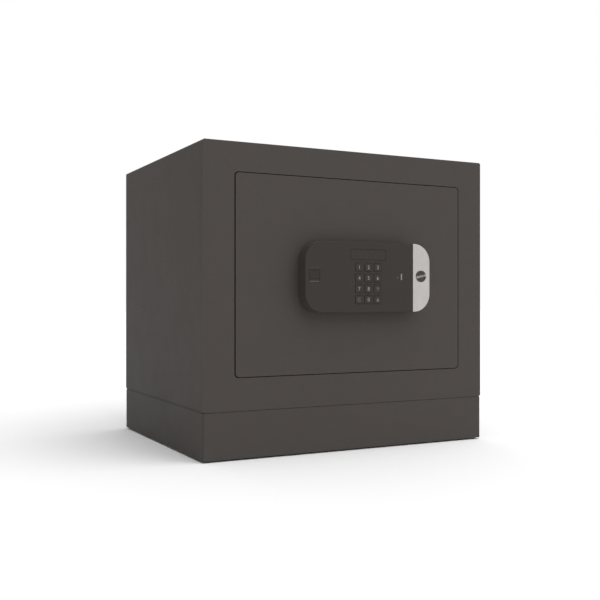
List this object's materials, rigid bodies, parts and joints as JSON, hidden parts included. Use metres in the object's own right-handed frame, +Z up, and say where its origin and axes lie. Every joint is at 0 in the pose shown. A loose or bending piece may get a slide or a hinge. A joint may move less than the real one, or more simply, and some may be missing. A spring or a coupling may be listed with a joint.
{
  "type": "in room safe",
  "caption": "Hotel in-room safe on a plinth: steel cabinet, flush hinged door with motor-driven bolts, keypad panel, emergency key lock and inner battery hatch.",
  "frame": {"origin": "middle of the whole object in X and Y, at the level of the feet", "axes": "+X to the right as the user faces the door, +Y from the door into the cabinet, +Z up"},
  "size_m": [0.38, 0.3184, 0.355],
  "materials": {
    "powder_coat": "fine-textured dark warm grey powder coat",
    "zinc_plate": "bright zinc plate",
    "bright_steel": "turned and ground steel",
    "panel_plastic": "satin near-black moulding",
    "satin_cap": "satin silver casting",
    "key_plastic": "fine matt key cap with pale legend",
    "smoked_lens": "smoked window",
    "light_pipe": "pale frosted light pipe",
    "dark_metal": "black nickel plate",
    "pinion_brass": "machined brass",
    "circuit_board": "green solder mask with black parts",
    "inner_plastic": "black moulded plastic",
    "cell_jacket": "printed foil jacket",
    "rubber": "moulded black rubber",
    "felt": "dark grey felt",
    "cable_jacket": "grey flat ribbon"
  },
  "bodies": {
    "cabinet": {"body_shell": "powder_coat", "back_plate": "powder_coat", "top_jamb": "powder_coat", "bottom_jamb": "powder_coat", "strike_plate": "zinc_plate", "floor_mat": "felt", "plinth": "powder_coat", "foot_strip_left": "rubber", "foot_strip_right": "rubber", "plinth_bolt_1": "zinc_plate", "plinth_bolt_2": "zinc_plate", "plinth_bolt_3": "zinc_plate", "plinth_bolt_4": "zinc_plate", "hinge_pin_top": "bright_steel", "hinge_pin_bottom": "bright_steel"},
    "door": {"door_plate": "powder_coat", "lock_chassis": "zinc_plate", "gearmotor": "bright_steel", "control_board": "circuit_board", "battery_tray": "inner_plastic", "inner_cover": "powder_coat", "ribbon_cable": "cable_jacket", "battery_1": "cell_jacket", "battery_2": "cell_jacket", "battery_3": "cell_jacket", "battery_4": "cell_jacket", "cover_screw_1": "zinc_plate", "cover_screw_2": "zinc_plate", "cover_screw_3": "zinc_plate", "cover_screw_4": "zinc_plate", "panel_shell": "panel_plastic", "end_cap": "satin_cap", "display_window": "smoked_lens", "lock_indicator": "light_pipe", "service_window": "smoked_lens", "status_bar": "light_pipe", "keypad_board": "circuit_board", "key_mat": "rubber", "lock_barrel": "dark_metal", "lock_nut": "zinc_plate"},
    "bolts": {"bolt_carriage": "zinc_plate", "bolt_lower": "bright_steel", "bolt_upper": "bright_steel"},
    "pinion": {"drive_pinion": "pinion_brass"},
    "key_plug": {"lock_plug": "dark_metal", "override_cam": "zinc_plate"},
    "hatch": {"battery_hatch": "inner_plastic"},
    "key_1_cap": {"key_1": "key_plastic"},
    "key_2_cap": {"key_2": "key_plastic"},
    "key_3_cap": {"key_3": "key_plastic"},
    "key_4_cap": {"key_4": "key_plastic"},
    "key_5_cap": {"key_5": "key_plastic"},
    "key_6_cap": {"key_6": "key_plastic"},
    "key_7_cap": {"key_7": "key_plastic"},
    "key_8_cap": {"key_8": "key_plastic"},
    "key_9_cap": {"key_9": "key_plastic"},
    "key_clear_cap": {"key_clear": "key_plastic"},
    "key_0_cap": {"key_0": "key_plastic"},
    "key_lock_cap": {"key_lock": "key_plastic"}
  },
  "joints": [
    {"name": "door_hinge", "type": "hinge", "parent": "cabinet", "child": "door", "pos_m": [-0.139, -0.1323, 0.206], "axis": [0, 0, -1], "range_deg": [0, 100]},
    {"name": "bolt_throw", "type": "slide", "parent": "door", "child": "bolts", "axis": [1, 0, 0], "range_m": [0, 0.013]},
    {"name": "pinion_spin", "type": "hinge", "parent": "door", "child": "pinion", "pos_m": [0.05, -0.1218, 0.1645], "axis": [0, 1, 0], "range_deg": [0, 100]},
    {"name": "key_turn", "type": "hinge", "parent": "door", "child": "key_plug", "pos_m": [0.0854, -0.1408, 0.2074], "axis": [0, 1, 0], "range_deg": [-90, 0]},
    {"name": "hatch_slide", "type": "slide", "parent": "door", "child": "hatch", "axis": [1, 0, 0], "range_m": [0, 0.062]},
    {"name": "key_1_press", "type": "slide", "parent": "door", "child": "key_1_cap", "axis": [0, 1, 0], "range_m": [0, 0.001], "stiffness_N_per_m": 1000, "springref_m": -0.0005},
    {"name": "key_2_press", "type": "slide", "parent": "door", "child": "key_2_cap", "axis": [0, 1, 0], "range_m": [0, 0.001], "stiffness_N_per_m": 1000, "springref_m": -0.0005},
    {"name": "key_3_press", "type": "slide", "parent": "door", "child": "key_3_cap", "axis": [0, 1, 0], "range_m": [0, 0.001], "stiffness_N_per_m": 1000, "springref_m": -0.0005},
    {"name": "key_4_press", "type": "slide", "parent": "door", "child": "key_4_cap", "axis": [0, 1, 0], "range_m": [0, 0.001], "stiffness_N_per_m": 1000, "springref_m": -0.0005},
    {"name": "key_5_press", "type": "slide", "parent": "door", "child": "key_5_cap", "axis": [0, 1, 0], "range_m": [0, 0.001], "stiffness_N_per_m": 1000, "springref_m": -0.0005},
    {"name": "key_6_press", "type": "slide", "parent": "door", "child": "key_6_cap", "axis": [0, 1, 0], "range_m": [0, 0.001], "stiffness_N_per_m": 1000, "springref_m": -0.0005},
    {"name": "key_7_press", "type": "slide", "parent": "door", "child": "key_7_cap", "axis": [0, 1, 0], "range_m": [0, 0.001], "stiffness_N_per_m": 1000, "springref_m": -0.0005},
    {"name": "key_8_press", "type": "slide", "parent": "door", "child": "key_8_cap", "axis": [0, 1, 0], "range_m": [0, 0.001], "stiffness_N_per_m": 1000, "springref_m": -0.0005},
    {"name": "key_9_press", "type": "slide", "parent": "door", "child": "key_9_cap", "axis": [0, 1, 0], "range_m": [0, 0.001], "stiffness_N_per_m": 1000, "springref_m": -0.0005},
    {"name": "key_clear_press", "type": "slide", "parent": "door", "child": "key_clear_cap", "axis": [0, 1, 0], "range_m": [0, 0.001], "stiffness_N_per_m": 1000, "springref_m": -0.0005},
    {"name": "key_0_press", "type": "slide", "parent": "door", "child": "key_0_cap", "axis": [0, 1, 0], "range_m": [0, 0.001], "stiffness_N_per_m": 1000, "springref_m": -0.0005},
    {"name": "key_lock_press", "type": "slide", "parent": "door", "child": "key_lock_cap", "axis": [0, 1, 0], "range_m": [0, 0.001], "stiffness_N_per_m": 1000, "springref_m": -0.0005}
  ],
  "couplings": [
    {"joint": "pinion_spin", "follows": "bolt_throw", "rad_per_m": 133.33}
  ]
}
